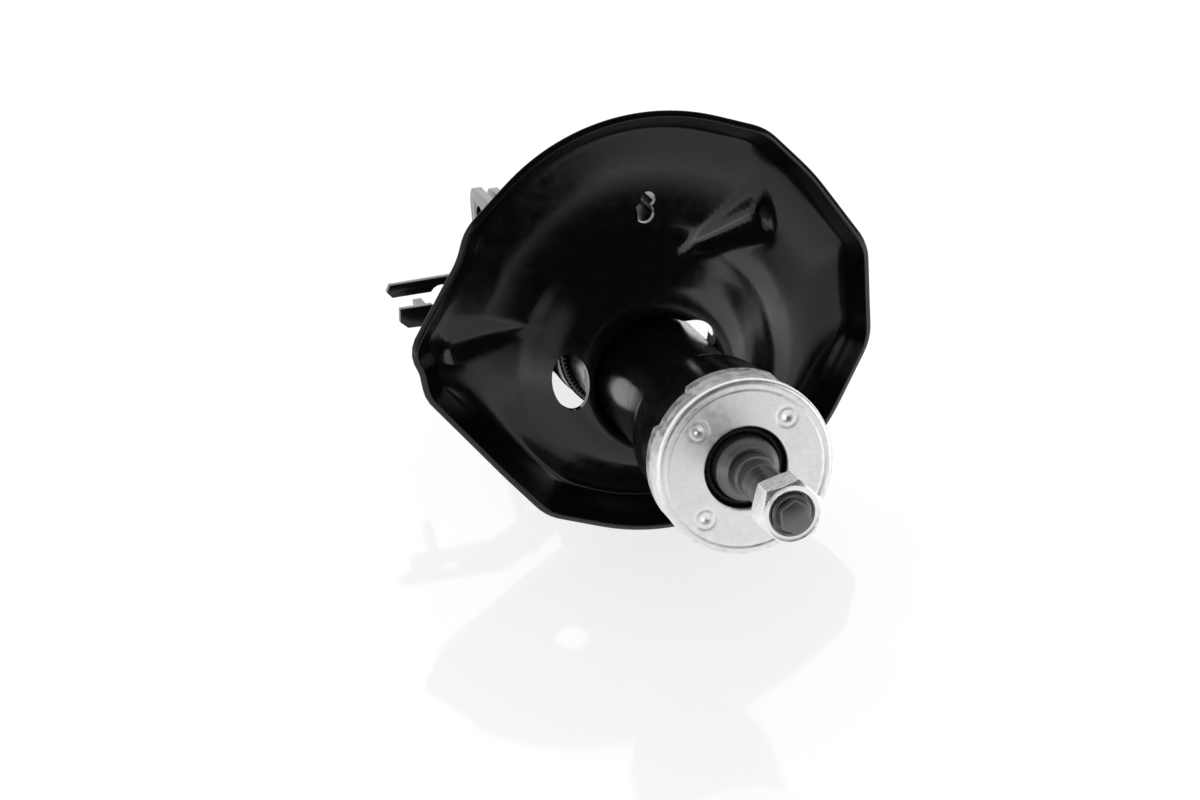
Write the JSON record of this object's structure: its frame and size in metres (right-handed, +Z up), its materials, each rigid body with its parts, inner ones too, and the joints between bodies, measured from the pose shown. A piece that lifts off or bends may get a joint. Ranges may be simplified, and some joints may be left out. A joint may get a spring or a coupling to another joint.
{
  "type": "suspension strut",
  "caption": "Front suspension strut with a pressed spring seat, bump stop cap, clevis knuckle bracket, slotted hose bracket and a sliding, turning piston rod.",
  "frame": {"origin": "centre of the bottom of the bounding box, on the bench that the strut lies on", "axes": "+Z up, +Y along the bench from the stud towards the knuckle bracket, +X across the bracket. The damper axis climbs 18.5 degrees towards -Y, the stud end."},
  "size_m": [0.1542, 0.2809, 0.1336],
  "materials": {
    "black_paint": "gloss black electrocoat paint",
    "zinc_plate": "satin zinc plate",
    "bright_zinc": "bright zinc plate",
    "rod_steel": "dark phosphated steel with a bright shoulder",
    "seal_rubber": "matte black rubber",
    "sintered_iron": "grey sintered iron",
    "bronze": "bronze bush",
    "bare_steel": "bare steel",
    "nylon": "natural nylon",
    "ptfe": "filled ptfe band"
  },
  "bodies": {
    "damper_body": {"outer_tube": "black_paint", "base_cup": "black_paint", "bump_stop_cap": "zinc_plate", "spring_seat": "black_paint", "knuckle_bracket_outer": "black_paint", "knuckle_bracket_inner": "black_paint", "hose_bracket": "black_paint", "inner_cylinder": "bare_steel", "rod_guide": "sintered_iron", "guide_bush": "bronze", "guide_o_ring": "seal_rubber", "oil_seal": "seal_rubber", "base_valve_body": "sintered_iron", "base_valve_rivet": "bare_steel"},
    "piston_band": {"piston_band": "ptfe"},
    "rod": {"piston_rod": "rod_steel", "rebound_stop": "nylon", "piston_stop_washer": "bare_steel", "piston_body": "sintered_iron", "piston_valve_discs": "bare_steel", "piston_nut": "bare_steel", "top_nut": "bright_zinc"},
    "piston_check_plate": {"piston_check_plate": "bare_steel"},
    "base_check_plate": {"base_check_plate": "bare_steel"}
  },
  "joints": [
    {"name": "rod_travel", "type": "slide", "parent": "damper_body", "child": "piston_band", "axis": [0, -0.9483, 0.3173], "range_m": [0, 0.087]},
    {"name": "rod_turn", "type": "hinge", "parent": "piston_band", "child": "rod", "pos_m": [0.00214, -0.09328, 0.08097], "axis": [0, -0.9483, 0.3173], "continuous": true},
    {"name": "piston_check_lift", "type": "slide", "parent": "rod", "child": "piston_check_plate", "axis": [0, -0.9483, 0.3173], "range_m": [0, 0.0012]},
    {"name": "base_check_lift", "type": "slide", "parent": "damper_body", "child": "base_check_plate", "axis": [0, -0.9483, 0.3173], "range_m": [0, 0.0012]}
  ]
}
